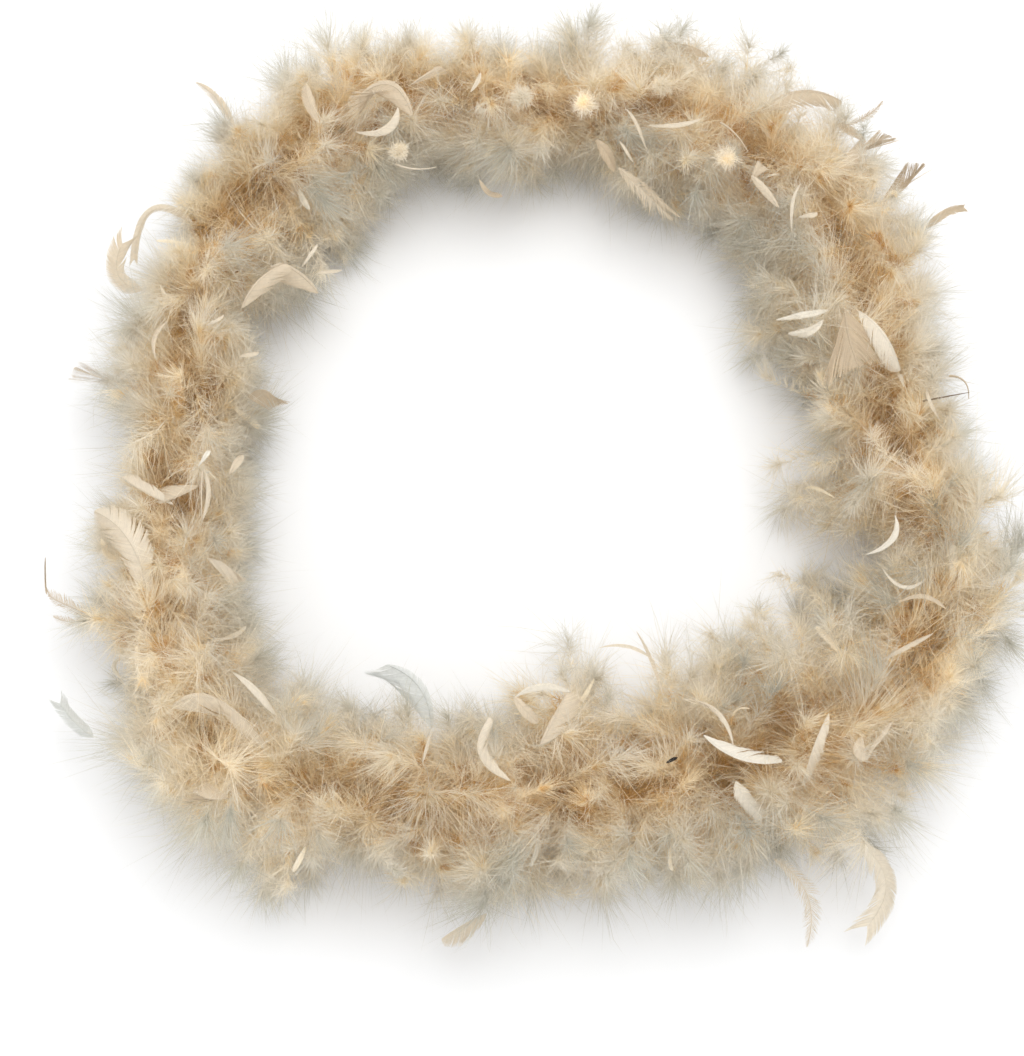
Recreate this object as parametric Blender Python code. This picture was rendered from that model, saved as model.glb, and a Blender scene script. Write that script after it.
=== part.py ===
"""A feather boa laid out on a flat surface as an irregular, almost closed ring.

Metres, +Z up. The origin is under the middle of the ring, on the surface it lies on. A limp twisted
cord runs through the whole boa. The feathers are caught by their quills between the cord's plies,
and stand out all round it in tufts, one behind the other. Each tuft is one solid here: a hub on the
cord with blades of feather that reach out to the edge of the fluff. The blades under the cord are
pressed flat by the boa's weight, and those are what it rests on.
"""

import math
import random

import bmesh
import bpy
import numpy as np
from mathutils import Vector

BOA_LENGTH = 2.0  # from the first feather to the last, along the boa
END_OVERHANG = 0.022  # how far the feathers reach past each end of the cord
CORD_DIAMETER = 0.005
CORD_HEIGHT = 0.056  # the feathers hold the cord up at this height
CORD_POINTS = 80
CORD_BEVEL_RESOLUTION = 2

# The middle line of the boa as it lies: x, y, and how far the feathers reach to each side there.
ROUTE = (
    (0.318, -0.106, 0.080),
    (0.307, -0.038, 0.084),
    (0.283, 0.042, 0.081),
    (0.268, 0.130, 0.085),
    (0.240, 0.207, 0.086),
    (0.176, 0.268, 0.082),
    (0.094, 0.304, 0.077),
    (0.004, 0.308, 0.067),
    (-0.081, 0.315, 0.070),
    (-0.154, 0.304, 0.071),
    (-0.218, 0.267, 0.072),
    (-0.264, 0.210, 0.070),
    (-0.292, 0.132, 0.066),
    (-0.298, 0.044, 0.067),
    (-0.304, -0.043, 0.073),
    (-0.308, -0.120, 0.079),
    (-0.298, -0.188, 0.082),
    (-0.262, -0.243, 0.083),
    (-0.201, -0.278, 0.084),
    (-0.121, -0.293, 0.082),
    (-0.041, -0.296, 0.087),
    (0.039, -0.281, 0.096),
    (0.119, -0.270, 0.096),
    (0.197, -0.252, 0.097),
    (0.254, -0.224, 0.092),
    (0.292, -0.188, 0.086),
    (0.312, -0.143, 0.081),
)
STEPS_BETWEEN = 24  # samples of the smooth curve between two points of the route

TUFT_COUNT = 48
TUFT_GAP = 0.0015
BLADES = 7
BLADE_ROOT = 0.0032  # a blade's thickness at the hub
BLADE_TIP = 0.0020
BLADE_SHORTEST = 0.88  # a blade's reach as a share of the longest's
FOOT_WIDTH = 0.013  # a blade that is pressed on the surface spreads to this
TUFT_TURN = math.radians(137.5)  # each tuft is turned from the one before it
BLADE_TWIST = math.radians(16.0)  # the blades wind with the cord's plies
CROWN = 0.074  # how far the feathers stand up over the cord
HUB_RADIUS = 0.0085
BORE_RADIUS = 0.0055  # room for the cord and for the quills caught in it
END_HUB_RADIUS = 0.0112
END_BORE_RADIUS = 0.0082  # the end tufts also hold the knot and the whipping
END_TAPER = 0.72  # the boa's ends are this much thinner
SEED = 7

KNOT_RADIUS = 0.0060
KNOT_HALF_LENGTH = 0.0075
WHIPPING_RADIUS = 0.0040
WHIPPING_LENGTH = 0.011
WHIPPING_EDGE = 0.0006
FIT_GAP = 0.0003  # between faces that touch on the real thing
ROUND_SIDES = 14

UP = Vector((0.0, 0.0, 1.0))


def clear_scene():
    for obj in list(bpy.data.objects):
        bpy.data.objects.remove(obj, do_unlink=True)


def smooth_route():
    """The route as a Catmull-Rom curve: rows of distance along it, x, y and reach."""
    knots = np.array(ROUTE)
    before, after = 2 * knots[0] - knots[1], 2 * knots[-1] - knots[-2]
    knots = np.vstack([before, knots, after])
    rows = []
    for p0, p1, p2, p3 in zip(knots, knots[1:], knots[2:], knots[3:]):
        for t in np.arange(STEPS_BETWEEN) / STEPS_BETWEEN:
            rows.append(
                0.5
                * (
                    2 * p1
                    + (p2 - p0) * t
                    + (2 * p0 - 5 * p1 + 4 * p2 - p3) * t**2
                    + (3 * p1 - 3 * p2 + p3 - p0) * t**3
                )
            )
    rows.append(knots[-2])
    rows = np.array(rows)
    steps = np.hypot(*np.diff(rows[:, :2], axis=0).T)
    distance = np.concatenate([[0.0], np.cumsum(steps)])
    scale = BOA_LENGTH / distance[-1]
    rows[:, :2] *= scale
    return np.column_stack([distance * scale, rows])


CURVE = smooth_route()


def on_route(s):
    """The point of the boa's middle line at distance s."""
    x, y = (float(np.interp(s, CURVE[:, 0], CURVE[:, i])) for i in (1, 2))
    return Vector((x, y, CORD_HEIGHT))


def heading(s):
    """The boa's direction at distance s."""
    step = 0.004
    low, high = max(s - step, 0.0), min(s + step, BOA_LENGTH)
    return (on_route(high) - on_route(low)).normalized()


def reach_at(s):
    """How far the feathers reach to the side at distance s, drawn in at both ends."""
    to_end = min(s, BOA_LENGTH - s)
    taper = min(1.0, END_TAPER + (1.0 - END_TAPER) * to_end / (2 * END_OVERHANG))
    return float(np.interp(s, CURVE[:, 0], CURVE[:, 3])) * taper


def plain_material(name, colour, roughness, metallic=0.0):
    material = bpy.data.materials.new(name)
    material.use_nodes = True
    shader = material.node_tree.nodes["Principled BSDF"]
    shader.inputs["Base Color"].default_value = (*colour, 1.0)
    shader.inputs["Roughness"].default_value = roughness
    shader.inputs["Metallic"].default_value = metallic
    return material


def mesh_object(name, build, centre, material):
    """An object whose mesh is built in world space and whose origin is at centre."""
    shape = bmesh.new()
    build(shape)
    bmesh.ops.recalc_face_normals(shape, faces=shape.faces)
    bmesh.ops.translate(shape, vec=-centre, verts=shape.verts)
    mesh = bpy.data.meshes.new(name)
    shape.to_mesh(mesh)
    shape.free()
    mesh.materials.append(material)
    obj = bpy.data.objects.new(name, mesh)
    obj.location = centre
    bpy.context.scene.collection.objects.link(obj)
    return obj


def polar(s, angle, radius):
    """The point at this angle and radius round the boa's middle line at distance s."""
    side = heading(s).cross(UP)
    return on_route(s) + side * (radius * math.cos(angle)) + UP * (radius * math.sin(angle))


def blade_reach(s, angle, share):
    """A blade's length at this angle: an oval, cut off by the surface that the boa lies on."""
    across = reach_at(s) * share
    over = min(CROWN * share, across)
    oval = across * over / math.hypot(over * math.cos(angle), across * math.sin(angle))
    drop = -math.sin(angle) * oval
    return oval * CORD_HEIGHT / drop if drop > CORD_HEIGHT else oval


def pressed(s, angle, share):
    """True if a blade at this angle meets the surface."""
    return blade_reach(s, angle, share) * -math.sin(angle) >= CORD_HEIGHT - 1e-9


def tuft_section(shape, s, turn, shares, hub, bore):
    """One cross-section of a tuft: for each blade its bore, root and tip points."""
    rows = []
    for k, share in enumerate(shares):
        angle = turn + 2 * math.pi * k / BLADES
        tip_width = FOOT_WIDTH if pressed(s, angle, share) else BLADE_TIP
        lean = math.asin(0.5 * tip_width / blade_reach(s, angle, share))
        root_lean = math.asin(0.5 * BLADE_ROOT / hub)
        points = [polar(s, angle, bore)]
        points.append(polar(s, angle - root_lean, hub))
        for at in (angle - lean, angle + lean):
            points.append(polar(s, at, blade_reach(s, at, share)))
        points.append(polar(s, angle + root_lean, hub))
        rows.append([shape.verts.new(p) for p in points])
    return rows


def skin_tuft(shape, first, second):
    """Closes the space between two cross-sections. Both sides of a blade are cut along the same
    diagonal, so that a blade keeps its thickness as it winds."""
    for k in range(BLADES):
        n = (k + 1) % BLADES
        for section in (first, second):
            inner, right, tip_right, tip_left, left = section[k]
            next_inner, next_right = section[n][0], section[n][1]
            shape.faces.new((right, tip_right, tip_left, left))
            shape.faces.new((inner, right, left))
            shape.faces.new((inner, left, next_right, next_inner))
        for root, tip in ((1, 2), (4, 3)):
            shape.faces.new((first[k][root], first[k][tip], second[k][tip]))
            shape.faces.new((first[k][root], second[k][tip], second[k][root]))
        shape.faces.new((first[k][2], first[k][3], second[k][3], second[k][2]))
        shape.faces.new((first[k][4], first[n][1], second[n][1], second[k][4]))
        shape.faces.new((first[k][0], first[n][0], second[n][0], second[k][0]))


def feather_tuft(index, rng):
    """One tuft of feathers round the cord: a hub with blades that wind a little."""
    start = BOA_LENGTH * index / TUFT_COUNT
    end = BOA_LENGTH * (index + 1) / TUFT_COUNT
    start += TUFT_GAP / 2 if index > 0 else 0.0
    end -= TUFT_GAP / 2 if index < TUFT_COUNT - 1 else 0.0
    at_end = index in (0, TUFT_COUNT - 1)
    hub, bore = (END_HUB_RADIUS, END_BORE_RADIUS) if at_end else (HUB_RADIUS, BORE_RADIUS)
    turn = index * TUFT_TURN
    shares = [rng.uniform(BLADE_SHORTEST, 1.0) for _ in range(BLADES)]

    def build(shape):
        first = tuft_section(shape, start, turn, shares, hub, bore)
        second = tuft_section(shape, end, turn + BLADE_TWIST, shares, hub, bore)
        skin_tuft(shape, first, second)

    name = f"feather_tuft_{index + 1:02d}"
    shade = rng.uniform(0.88, 1.06)
    colour = (0.62 * shade, 0.50 * shade, 0.35 * shade)
    return mesh_object(name, build, on_route((start + end) / 2), plain_material(name, colour, 0.95))


def cord_points():
    """Evenly spaced points along the cord, which starts and ends inside the end tufts."""
    run = np.linspace(END_OVERHANG, BOA_LENGTH - END_OVERHANG, CORD_POINTS)
    return [on_route(float(s)) for s in run]


def core_cord(points):
    curve = bpy.data.curves.new("core_cord", "CURVE")
    curve.dimensions = "3D"
    curve.bevel_depth = CORD_DIAMETER / 2
    curve.bevel_resolution = CORD_BEVEL_RESOLUTION
    curve.use_fill_caps = True
    spline = curve.splines.new("POLY")
    spline.points.add(len(points) - 1)
    for spot, point in zip(spline.points, points):
        spot.co = (*(point - points[0]), 1.0)
    curve.materials.append(plain_material("core_cord", (0.55, 0.42, 0.27), 0.85))
    obj = bpy.data.objects.new("core_cord", curve)
    obj.location = points[0]
    bpy.context.scene.collection.objects.link(obj)
    return obj


def turned(shape, centre, axis, profile, closed):
    """A profile of (along, radius) turned round an axis: closed on itself, or between two poles."""
    side = axis.cross(UP).normalized()
    other = axis.cross(side)
    rings = []
    for along, radius in profile:
        ring = []
        for k in range(ROUND_SIDES):
            a = 2 * math.pi * k / ROUND_SIDES
            out = side * math.cos(a) + other * math.sin(a)
            ring.append(shape.verts.new(centre + axis * along + out * radius))
        rings.append(ring)
    pairs = list(zip(rings, rings[1:])) + ([(rings[-1], rings[0])] if closed else [])
    for low, high in pairs:
        for k in range(ROUND_SIDES):
            n = (k + 1) % ROUND_SIDES
            shape.faces.new((low[k], low[n], high[n], high[k]))
    if not closed:
        shape.faces.new(rings[0])
        shape.faces.new(rings[-1])


def end_knot(name, cord_end, outward):
    """The knot that stops the cord's plies from opening, on the last of the cord."""
    steps = np.linspace(0.16, 0.84, 7) * math.pi
    profile = [(-KNOT_HALF_LENGTH * math.cos(a), KNOT_RADIUS * math.sin(a)) for a in steps]
    first = profile[0][0]
    centre = cord_end + outward * (FIT_GAP - first)
    material = plain_material(name, (0.55, 0.42, 0.27), 0.85)
    return mesh_object(
        name, lambda shape: turned(shape, centre, outward, profile, False), centre, material
    )


def end_whipping(name, one, two):
    """Thread bound round the cord near its end, which locks the last quills in it."""
    axis, centre = (two - one).normalized(), (one + two) / 2
    inner = CORD_DIAMETER / 2 + FIT_GAP
    half, outer, edge = WHIPPING_LENGTH / 2, WHIPPING_RADIUS, WHIPPING_EDGE
    profile = [
        (-half, inner),
        (-half, outer - edge),
        (-half + edge, outer),
        (half - edge, outer),
        (half, outer - edge),
        (half, inner),
    ]
    material = plain_material(name, (0.70, 0.60, 0.45), 0.7)
    return mesh_object(
        name, lambda shape: turned(shape, centre, axis, profile, True), centre, material
    )


def main():
    clear_scene()
    rng = random.Random(SEED)
    points = cord_points()
    pieces = [core_cord(points)]
    for letter, last, inside in (("a", points[0], points[1]), ("b", points[-1], points[-2])):
        pieces.append(end_knot(f"end_knot_{letter}", last, (last - inside).normalized()))
        pieces.append(end_whipping(f"end_whipping_{letter}", last, inside))
    pieces += [feather_tuft(index, rng) for index in range(TUFT_COUNT)]
    boa = bpy.data.objects.new("feather_boa", None)
    bpy.context.scene.collection.objects.link(boa)
    for piece in pieces:
        piece.parent = boa


main()
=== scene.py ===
"""The looks of the feather boa: down, flat feather tips, the cord inside, and a plain studio."""

import math
from collections import namedtuple

import bpy
import numpy as np
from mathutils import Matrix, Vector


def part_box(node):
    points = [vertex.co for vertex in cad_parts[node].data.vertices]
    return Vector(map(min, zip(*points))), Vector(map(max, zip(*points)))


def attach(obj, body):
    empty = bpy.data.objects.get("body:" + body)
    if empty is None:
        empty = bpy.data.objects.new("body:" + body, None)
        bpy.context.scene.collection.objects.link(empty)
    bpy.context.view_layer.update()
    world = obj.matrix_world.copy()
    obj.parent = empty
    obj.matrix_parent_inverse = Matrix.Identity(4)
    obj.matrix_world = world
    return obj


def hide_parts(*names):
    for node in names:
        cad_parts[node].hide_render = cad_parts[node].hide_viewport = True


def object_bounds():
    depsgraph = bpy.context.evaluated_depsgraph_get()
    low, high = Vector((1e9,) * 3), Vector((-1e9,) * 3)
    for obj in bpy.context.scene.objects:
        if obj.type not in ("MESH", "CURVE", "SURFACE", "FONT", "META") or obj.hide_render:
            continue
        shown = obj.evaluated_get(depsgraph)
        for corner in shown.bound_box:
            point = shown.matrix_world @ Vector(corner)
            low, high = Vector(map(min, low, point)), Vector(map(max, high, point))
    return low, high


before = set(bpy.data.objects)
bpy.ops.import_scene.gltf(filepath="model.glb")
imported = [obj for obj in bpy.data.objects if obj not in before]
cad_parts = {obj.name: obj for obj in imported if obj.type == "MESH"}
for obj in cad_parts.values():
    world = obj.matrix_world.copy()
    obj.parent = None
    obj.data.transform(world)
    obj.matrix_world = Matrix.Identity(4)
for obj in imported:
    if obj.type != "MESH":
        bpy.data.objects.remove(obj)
cad_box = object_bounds()

UP = np.array([0.0, 0.0, 1.0])

# ---------------------------------------------------------------- the boa's middle line, as in part.py
BOA_LENGTH = 2.0
END_OVERHANG = 0.022  # how far the feathers reach past each end of the cord
CORD_DIAMETER = 0.005
CORD_HEIGHT = 0.056
CROWN = 0.074  # from the cord to the top of the fluff
TUFT_COUNT = 48
ROUTE = (
    (0.318, -0.106), (0.307, -0.038), (0.283, 0.042), (0.268, 0.130), (0.240, 0.207),
    (0.176, 0.268), (0.094, 0.304), (0.004, 0.308), (-0.081, 0.315), (-0.154, 0.304),
    (-0.218, 0.267), (-0.264, 0.210), (-0.292, 0.132), (-0.298, 0.044), (-0.304, -0.043),
    (-0.308, -0.120), (-0.298, -0.188), (-0.262, -0.243), (-0.201, -0.278), (-0.121, -0.293),
    (-0.041, -0.296), (0.039, -0.281), (0.119, -0.270), (0.197, -0.252), (0.254, -0.224),
    (0.292, -0.188), (0.312, -0.143),
)
STEPS_BETWEEN = 24  # points of the curve from one of those to the next


def smooth_route():
    """The route as a Catmull-Rom curve: rows of distance along it, x and y."""
    knots = np.array(ROUTE)
    before, after = 2 * knots[0] - knots[1], 2 * knots[-1] - knots[-2]
    knots = np.vstack([before, knots, after])
    rows = []
    for p0, p1, p2, p3 in zip(knots, knots[1:], knots[2:], knots[3:]):
        for t in np.arange(STEPS_BETWEEN) / STEPS_BETWEEN:
            straight = p2 - p0
            square = 2 * p0 - 5 * p1 + 4 * p2 - p3
            cube = 3 * (p1 - p2) + p3 - p0
            rows.append(0.5 * (2 * p1 + straight * t + square * t**2 + cube * t**3))
    rows.append(knots[-2])
    rows = np.array(rows)
    steps = np.hypot(*np.diff(rows, axis=0).T)
    distance = np.concatenate([[0.0], np.cumsum(steps)])
    scale = BOA_LENGTH / distance[-1]
    return np.column_stack([distance * scale, rows * scale])


CURVE = smooth_route()


def on_route(s):
    """Points of the middle line at the distances s."""
    s = np.asarray(s, float)
    columns = [np.interp(s, CURVE[:, 0], CURVE[:, i]) for i in (1, 2)]
    return np.stack([*columns, np.full(s.shape, CORD_HEIGHT)], axis=-1)


def unit(v):
    return v / np.maximum(np.linalg.norm(v, axis=-1, keepdims=True), 1e-12)


def heading(s):
    """The boa's direction at the distances s."""
    step = 0.006
    return unit(on_route(np.minimum(s + step, BOA_LENGTH)) - on_route(np.maximum(s - step, 0.0)))


# ---------------------------------------------------------------- the fluff's outline
# how far the down spreads outside and inside the ring, every 50 mm along the boa
SPREAD_STEP = 0.05
SPREAD = (
    (0.062, 0.080), (0.070, 0.092), (0.060, 0.106), (0.056, 0.092), (0.056, 0.092),
    (0.068, 0.102), (0.074, 0.088), (0.084, 0.088), (0.096, 0.086), (0.098, 0.090),
    (0.084, 0.084), (0.092, 0.070), (0.062, 0.072), (0.060, 0.076), (0.068, 0.072),
    (0.070, 0.082), (0.066, 0.102), (0.058, 0.104), (0.050, 0.098), (0.044, 0.084),
    (0.060, 0.062), (0.066, 0.062), (0.050, 0.068), (0.058, 0.064), (0.062, 0.068),
    (0.066, 0.074), (0.052, 0.074), (0.074, 0.076), (0.080, 0.088), (0.086, 0.084),
    (0.071, 0.085), (0.079, 0.086), (0.089, 0.092), (0.091, 0.114), (0.091, 0.118),
    (0.095, 0.104), (0.092, 0.120), (0.102, 0.122), (0.078, 0.130), (0.058, 0.120),
    (0.066, 0.090),
)
SPREAD_AT = np.arange(len(SPREAD)) * SPREAD_STEP
INNER_EXTRA = 0.005  # added inside the ring
# Lumps and notches in that outline: the distance along the boa, the side (1 outer, -1 inner), how
# far they go out or in, and their half width.
BUMPS = (
    (0.018, -1, -0.056, 0.021), (0.105, -1, 0.046, 0.026), (0.175, -1, -0.046, 0.017),
    (0.225, -1, 0.018, 0.018), (0.375, -1, -0.012, 0.030), (0.560, -1, -0.032, 0.030),
    (0.700, -1, -0.024, 0.050), (0.985, -1, -0.036, 0.022), (1.125, -1, -0.012, 0.013),
    (1.450, -1, -0.012, 0.015), (1.690, -1, 0.034, 0.035), (1.775, -1, -0.030, 0.014),
    (1.820, -1, 0.034, 0.028), (1.930, -1, 0.044, 0.045), (2.048, -1, -0.060, 0.026),
    (0.045, 1, 0.018, 0.014), (0.078, 1, -0.024, 0.015), (0.210, 1, -0.014, 0.020),
    (0.262, 1, 0.016, 0.018), (0.350, 1, 0.008, 0.016), (0.510, 1, -0.016, 0.018),
    (0.605, 1, -0.020, 0.018), (0.705, 1, -0.014, 0.014), (0.940, 1, -0.024, 0.018),
    (1.050, 1, 0.020, 0.016), (1.110, 1, -0.026, 0.018), (1.150, 1, 0.034, 0.014),
    (1.250, 1, 0.018, 0.014), (1.280, 1, -0.036, 0.014), (1.435, 1, 0.020, 0.018),
    (1.500, 1, -0.034, 0.015), (1.575, 1, 0.036, 0.016), (1.622, 1, -0.022, 0.013),
    (1.660, 1, 0.022, 0.018), (1.800, 1, 0.020, 0.015), (1.850, 1, 0.014, 0.020),
    (1.925, 1, -0.030, 0.015), (1.975, 1, 0.020, 0.016),
)


def spread_at(s, angle):
    """How far the down goes sideways at s, on the side that the angle points to."""
    outer, inner = (np.interp(s, SPREAD_AT, column) for column in np.array(SPREAD).T)
    inner = inner + INNER_EXTRA
    for place, side, amount, half_width in BUMPS:
        swell = amount * np.exp(-(((s - place) / half_width) ** 2))
        outer = outer + (swell if side > 0 else 0.0)
        inner = inner + (swell if side < 0 else 0.0)
    return np.where(np.cos(angle) > 0, outer, inner)


# paler stretches: the distance along the boa, how much paler, half width
PALE = (
    (0.280, 0.16, 0.08), (0.800, 0.18, 0.06), (1.220, 0.32, 0.05), (1.385, 0.85, 0.05),
    (1.940, 0.32, 0.05),
)
CREAM_DEPTH = 0.62  # where the down's colours are palest


def pale_at(s):
    """How much paler the down is at s."""
    return sum(amount * np.exp(-(((s - place) / half_width) ** 2)) for place, amount, half_width in PALE)


# ---------------------------------------------------------------- camera
SENSOR_WIDTH = 36.0
LENS = 65.7
CAMERA_ELEVATION = math.radians(75)
CAMERA_TARGET = np.array([-0.0275, -0.066, 0.055])
CAMERA_DISTANCE = 1.518


def add_camera():
    """The camera at the photograph's viewing angle."""
    lens = bpy.data.cameras.new("camera")
    lens.sensor_fit = "HORIZONTAL"
    lens.sensor_width = SENSOR_WIDTH
    lens.lens = LENS
    camera = bpy.data.objects.new("camera", lens)
    bpy.context.scene.collection.objects.link(camera)
    away = np.array([0.0, -math.cos(CAMERA_ELEVATION), math.sin(CAMERA_ELEVATION)])
    camera.location = CAMERA_TARGET + CAMERA_DISTANCE * away
    camera.rotation_euler = (math.pi / 2 - CAMERA_ELEVATION, 0.0, 0.0)
    bpy.context.scene.camera = camera


add_camera()

# ---------------------------------------------------------------- mesh making


def make_mesh(name, verts, quads, tris, material, attributes=()):
    """A mesh from arrays of points, quads and triangles, shaded smooth."""
    mesh = bpy.data.meshes.new(name)
    nq, nt = len(quads), len(tris)
    mesh.vertices.add(len(verts))
    mesh.vertices.foreach_set("co", verts.astype(np.float32).ravel())
    mesh.loops.add(4 * nq + 3 * nt)
    loops = np.concatenate([quads.ravel(), tris.ravel()]).astype(np.int32)
    mesh.loops.foreach_set("vertex_index", loops)
    mesh.polygons.add(nq + nt)
    starts = np.concatenate([np.arange(nq) * 4, 4 * nq + np.arange(nt) * 3]).astype(np.int32)
    mesh.polygons.foreach_set("loop_start", starts)
    mesh.polygons.foreach_set("use_smooth", np.ones(nq + nt, bool))
    for label, values in attributes:
        layer = mesh.attributes.new(label, "FLOAT", "POINT")
        layer.data.foreach_set("value", values.astype(np.float32))
    mesh.update(calc_edges=True)
    mesh.materials.append(material)
    obj = bpy.data.objects.new(name, mesh)
    bpy.context.scene.collection.objects.link(obj)
    return obj


ROOM_SHARE = 0.03  # how far tips may stand out of the CAD box, as a share of its side
ROOM_BESIDES = 0.007  # and besides that
PRESSED = 0.006  # below this height the down is pressed flatter and flatter
GIVE = 0.012  # over this distance the longest tips bend back in


def limit_box():
    """Where the down may go: the CAD box and a little fabric room round it."""
    low, high = (np.array(corner, float) for corner in cad_box)
    room = ROOM_SHARE * (high - low) + ROOM_BESIDES
    return low - room, high + room


LOW, HIGH = limit_box()


def keep_inside(points):
    """Presses what would go under the surface flat on it, and bends the longest tips back in."""
    z = points[..., 2]
    points[..., 2] = np.where(z < PRESSED, PRESSED * np.exp(np.minimum(z - PRESSED, 0) / PRESSED), z)
    for axis in range(3):
        v = points[..., axis]
        over = np.maximum(v - HIGH[axis] + GIVE, 0) / GIVE
        v = np.where(over > 0, HIGH[axis] - GIVE * np.exp(-over), v)
        if axis < 2:
            under = np.maximum(LOW[axis] + GIVE - v, 0) / GIVE
            v = np.where(under > 0, LOW[axis] + GIVE * np.exp(-under), v)
        points[..., axis] = v
    return points


# ---------------------------------------------------------------- materials


def new_material(name):
    """A material, its node tree and its shader."""
    material = bpy.data.materials.new(name)
    material.use_nodes = True
    tree = material.node_tree
    return material, tree, tree.nodes["Principled BSDF"]


def add_ramp(tree, stops):
    """A colour ramp with a colour at each stop."""
    ramp = tree.nodes.new("ShaderNodeValToRGB")
    elements = ramp.color_ramp.elements
    for element, (at, colour) in zip(elements, (stops[0], stops[-1])):
        element.position = at
        element.color = (*colour, 1)
    for at, colour in stops[1:-1]:
        elements.new(at).color = (*colour, 1)
    return ramp


def add_math(tree, kind, a, b, clamp=False):
    """Two numbers or outputs, added, subtracted or multiplied."""
    node = tree.nodes.new("ShaderNodeMath")
    node.operation = kind
    node.use_clamp = clamp
    for socket, value in zip(node.inputs, (a, b)):
        if isinstance(value, (int, float)):
            socket.default_value = value
        else:
            tree.links.new(value, socket)
    return node.outputs["Value"]


def add_attribute(tree, name):
    """A value that the mesh holds at each point."""
    node = tree.nodes.new("ShaderNodeAttribute")
    node.attribute_name = name
    return node.outputs["Fac"]


def add_noise(tree, scale, detail=2.0):
    """Noise in the object's own coordinates."""
    place = tree.nodes.new("ShaderNodeTexCoord")
    noise = tree.nodes.new("ShaderNodeTexNoise")
    noise.inputs["Scale"].default_value = scale
    noise.inputs["Detail"].default_value = detail
    tree.links.new(place.outputs["Object"], noise.inputs["Vector"])
    return noise.outputs["Fac"]


def add_product(tree, a, b):
    """Two colours, or a colour and a grey, multiplied."""
    node = tree.nodes.new("ShaderNodeMix")
    node.data_type = "RGBA"
    node.blend_type = "MULTIPLY"
    node.inputs["Factor"].default_value = 1.0
    tree.links.new(a, node.inputs["A"])
    tree.links.new(b, node.inputs["B"])
    return node.outputs["Result"]


def add_bump(tree, shader, height, strength, distance):
    """Fine relief from the height."""
    bump = tree.nodes.new("ShaderNodeBump")
    bump.inputs["Strength"].default_value = strength
    bump.inputs["Distance"].default_value = distance
    tree.links.new(height, bump.inputs["Height"])
    tree.links.new(bump.outputs["Normal"], shader.inputs["Normal"])


def let_light_through(tree, shader, colour, share):
    """Mixes the shader with light that comes through from behind."""
    glow = tree.nodes.new("ShaderNodeBsdfTranslucent")
    tree.links.new(colour, glow.inputs["Color"])
    mix = tree.nodes.new("ShaderNodeMixShader")
    mix.inputs["Fac"].default_value = share
    tree.links.new(shader.outputs["BSDF"], mix.inputs[1])
    tree.links.new(glow.outputs["BSDF"], mix.inputs[2])
    tree.links.new(mix.outputs["Shader"], tree.nodes["Material Output"].inputs["Surface"])


def down_material():
    """Dyed down: darker gold near the cord and in patches, cream further out, grey at the outline; the
    gold and the grey are painted shade.
    """
    material, tree, shader = new_material("dyed_down_painted_shade")
    # low stops: darker gold, painted shade deep in the fluff; high stops: grey, painted shade at the
    # strand's sides and outline
    stops = (
        (0.00, (0.69, 0.465, 0.21)),
        (0.22, (0.875, 0.725, 0.475)),
        (0.48, (0.92, 0.843, 0.685)),
        (0.70, (0.87, 0.812, 0.70)),
        (0.84, (0.765, 0.725, 0.635)),
        (0.94, (0.68, 0.655, 0.575)),
        (1.00, (0.635, 0.62, 0.55)),
    )
    # random patches, stronger deeper in, where the painted shade of gold reaches further out
    shade_patches = add_math(tree, "SUBTRACT", add_noise(tree, 55.0), 0.545, clamp=True)
    shade_patches = add_math(tree, "MULTIPLY", shade_patches, 8.0)
    shade_depth = add_attribute(tree, "shade_depth")
    inwards = add_math(tree, "SUBTRACT", 1.0, shade_depth, clamp=True)
    shade_patches = add_math(tree, "MULTIPLY", shade_patches, inwards)
    at = add_math(tree, "SUBTRACT", shade_depth, shade_patches, clamp=True)
    ramp = add_ramp(tree, stops)
    tree.links.new(at, ramp.inputs["Fac"])
    colour = add_product(tree, ramp.outputs["Color"], add_attribute(tree, "shade"))
    tree.links.new(colour, shader.inputs["Base Color"])
    shader.inputs["Roughness"].default_value = 0.8
    shader.inputs["Specular IOR Level"].default_value = 0.2
    let_light_through(tree, shader, colour, 0.5)
    return material


def vane_material():
    """A closed vane, from nearly black and tan to cream and white, with fine mottling."""
    material, tree, shader = new_material("closed_vane")
    stops = (
        (0.00, (0.010, 0.008, 0.007)),
        (0.08, (0.16, 0.10, 0.05)),
        (0.22, (0.46, 0.34, 0.205)),
        (0.52, (0.67, 0.565, 0.42)),
        (0.72, (0.76, 0.68, 0.55)),
        (0.86, (0.82, 0.78, 0.69)),
        (1.00, (0.67, 0.69, 0.675)),
    )
    ramp = add_ramp(tree, stops)
    tree.links.new(add_attribute(tree, "tint"), ramp.inputs["Fac"])
    mottle = add_math(tree, "MULTIPLY", add_noise(tree, 420.0, 4.0), 0.22)
    mottle = add_math(tree, "ADD", mottle, 0.89)
    shade = add_math(tree, "MULTIPLY", mottle, add_attribute(tree, "shade"))
    colour = add_product(tree, ramp.outputs["Color"], shade)
    tree.links.new(colour, shader.inputs["Base Color"])
    shader.inputs["Roughness"].default_value = 0.55
    shader.inputs["Specular IOR Level"].default_value = 0.35
    shader.inputs["Sheen Weight"].default_value = 0.2
    add_bump(tree, shader, add_noise(tree, 2600.0, 2.0), 0.25, 0.0002)
    let_light_through(tree, shader, colour, 0.28)
    return material


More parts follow.
